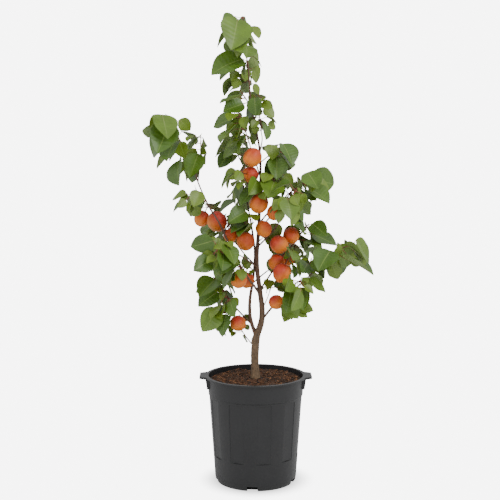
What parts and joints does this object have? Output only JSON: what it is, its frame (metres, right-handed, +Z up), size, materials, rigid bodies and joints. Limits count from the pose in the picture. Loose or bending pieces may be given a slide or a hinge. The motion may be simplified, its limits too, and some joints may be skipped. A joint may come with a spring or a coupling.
{
  "type": "potted fruit tree",
  "caption": "Small fruiting apricot tree with a branched open crown of broad leaves and orange fruit, in a round fluted nursery pot filled with bark mix.",
  "frame": {"origin": "centre of the pot's underside", "axes": "+Z up along the pot's axis, -Y towards the viewer of the picture, +X to the viewer's right"},
  "size_m": [0.5334, 0.3401, 1.1057],
  "materials": {
    "pot_plastic": "satin dark charcoal",
    "potting_mix": "loose shredded bark and fibre",
    "bark": "young bark, brown at the foot and reddish above",
    "foliage": "thin leaves with a soft sheen"
  },
  "bodies": {
    "root": {"pot": "pot_plastic", "potting_mix": "potting_mix", "trunk": "bark", "stem_left": "bark", "bough_left": "bark", "bough_right": "bark", "bough_right_low": "bark", "bough_left_low": "bark", "bough_right_high": "bark", "shoot_high_left": "bark", "shoot_high_right": "bark", "bough_front": "bark", "bough_front_left": "bark", "bough_back_left": "bark", "bough_back_right": "bark", "bough_back_low": "bark", "bough_back": "bark", "mass_top": "foliage", "mass_upper_left": "foliage", "mass_upper_right": "foliage", "mass_high_left": "foliage", "mass_high_right": "foliage", "mass_leader_right": "foliage", "mass_leader_side": "foliage", "mass_leader_front": "foliage", "mass_leader_left": "foliage", "mass_right_high_tip": "foliage", "mass_right_high_side": "foliage", "mass_right_tip": "foliage", "mass_right_side": "foliage", "mass_right_low_tip": "foliage", "mass_right_low_side": "foliage", "mass_right_low_under": "foliage", "mass_right_inner": "foliage", "mass_left_low_tip": "foliage", "mass_left_low_side": "foliage", "mass_left_low_under": "foliage", "mass_foot_twig": "foliage", "mass_left_inner": "foliage", "mass_left_back": "foliage", "mass_left_under": "foliage", "mass_left_spur": "foliage", "mass_left_hang": "foliage", "mass_left_side": "foliage", "mass_left_mid": "foliage", "mass_left_tip": "foliage", "mass_centre_left": "foliage", "mass_centre_right": "foliage", "mass_front": "foliage", "mass_front_left": "foliage", "mass_front_low": "foliage", "mass_back": "foliage", "mass_back_left": "foliage", "mass_back_right": "foliage", "mass_back_low": "foliage", "mass_back_mid": "foliage", "mass_back_high": "foliage"}
  },
  "joints": []
}
